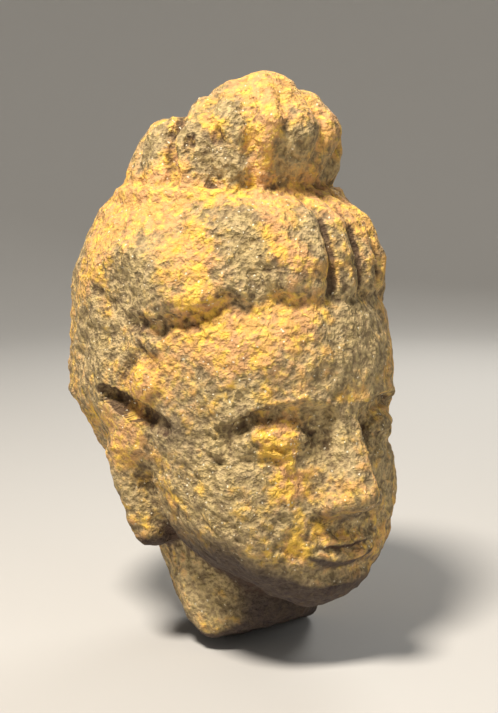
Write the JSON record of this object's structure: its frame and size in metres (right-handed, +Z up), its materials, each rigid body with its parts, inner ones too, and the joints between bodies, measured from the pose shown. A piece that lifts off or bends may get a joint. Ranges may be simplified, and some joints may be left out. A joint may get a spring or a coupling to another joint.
{
  "type": "stone buddha head",
  "caption": "Weathered grey schist head of a Buddha with combed hair, a tall topknot and a calm face, broken off at the neck and standing on the break.",
  "frame": {"origin": "in the small flat at the broken end of the neck, straight below the middle of the skull", "axes": "+Z up through the topknot; the face looks along -Y; +X is the figure's left"},
  "size_m": [0.1342, 0.1767, 0.25],
  "materials": {
    "stone": "weathered, matte, with ochre deposits"
  },
  "bodies": {
    "root": {"buddha_head": "stone"}
  },
  "joints": []
}
